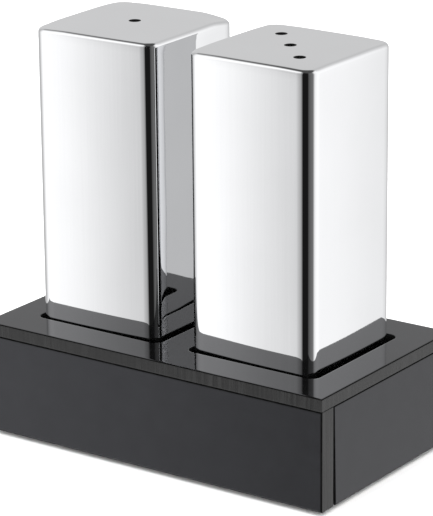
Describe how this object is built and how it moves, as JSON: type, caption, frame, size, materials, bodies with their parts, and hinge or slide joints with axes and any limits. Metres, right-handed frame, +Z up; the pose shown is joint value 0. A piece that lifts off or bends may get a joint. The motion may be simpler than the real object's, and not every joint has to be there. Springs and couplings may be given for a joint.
{
  "type": "salt and pepper shakers",
  "caption": "Square polished steel salt and pepper shakers standing loose in the square pockets of a black acrylic sheet tray.",
  "frame": {"origin": "centre of the tray's footprint, on the surface that its feet stand on", "axes": "+Z up, +X along the tray from the salt shaker to the pepper shaker, -Y towards the front"},
  "size_m": [0.0872, 0.05, 0.0904],
  "materials": {
    "black_acrylic": "cast black acrylic sheet, polished faces and matt cut edges",
    "foot_rubber": "matt black stick-on rubber",
    "polished_steel": "mirror-polished stainless steel with faint waviness and hairlines",
    "insert_plastic": "fine-textured black moulded polypropylene",
    "stopper_silicone": "translucent grey-white silicone, slightly frosted"
  },
  "bodies": {
    "tray": {"tray_top_plate": "black_acrylic", "tray_front_plate": "black_acrylic", "tray_back_plate": "black_acrylic", "tray_left_plate": "black_acrylic", "tray_right_plate": "black_acrylic", "tray_floor_plate": "black_acrylic", "tray_foot_front_left": "foot_rubber", "tray_foot_front_right": "foot_rubber", "tray_foot_back_left": "foot_rubber", "tray_foot_back_right": "foot_rubber"},
    "salt_shaker": {"salt_shell": "polished_steel", "salt_base_insert": "insert_plastic"},
    "salt_stopper": {"salt_stopper": "stopper_silicone"},
    "pepper_shaker": {"pepper_shell": "polished_steel", "pepper_base_insert": "insert_plastic"},
    "pepper_stopper": {"pepper_stopper": "stopper_silicone"}
  },
  "joints": [
    {"name": "salt_lift", "type": "slide", "parent": "tray", "child": "salt_shaker", "axis": [0, 0, 1], "range_m": [0, 0.1]},
    {"name": "salt_stopper_pull", "type": "slide", "parent": "salt_shaker", "child": "salt_stopper", "axis": [0, 0, -1], "range_m": [0, 0.005]},
    {"name": "pepper_lift", "type": "slide", "parent": "tray", "child": "pepper_shaker", "axis": [0, 0, 1], "range_m": [0, 0.1]},
    {"name": "pepper_stopper_pull", "type": "slide", "parent": "pepper_shaker", "child": "pepper_stopper", "axis": [0, 0, -1], "range_m": [0, 0.005]}
  ]
}
